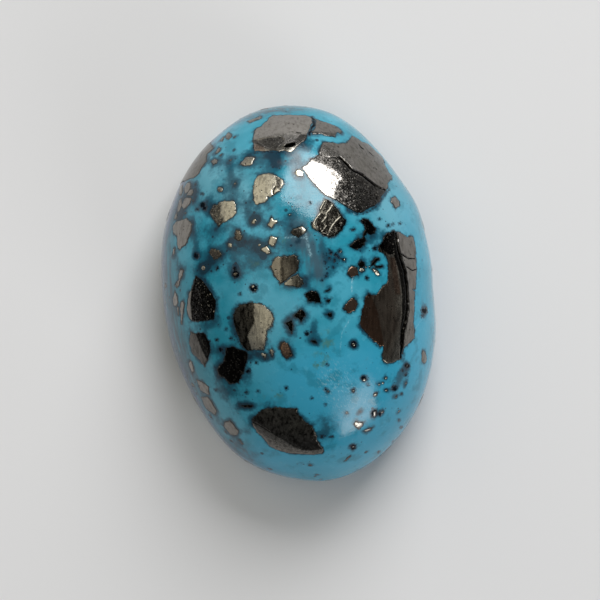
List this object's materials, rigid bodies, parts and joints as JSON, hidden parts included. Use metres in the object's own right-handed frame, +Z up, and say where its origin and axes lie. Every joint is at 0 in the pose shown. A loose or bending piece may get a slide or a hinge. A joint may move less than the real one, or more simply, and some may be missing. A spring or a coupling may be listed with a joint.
{
  "type": "polished turquoise cabochon stone with pyrite",
  "caption": "Oval high-domed turquoise stone with pyrite crystals cut flush in its polish, flat underneath.",
  "frame": {"origin": "under the middle of the stone, on the plane of its flat base", "axes": "+Y along the long axis, towards the end with the largest crystals; +Z up through the dome; +X across"},
  "size_m": [0.018, 0.025, 0.0103],
  "materials": {
    "turquoise": "gloss",
    "pyrite": "polished"
  },
  "bodies": {
    "root": {"turquoise_stone": "turquoise"}
  },
  "joints": []
}
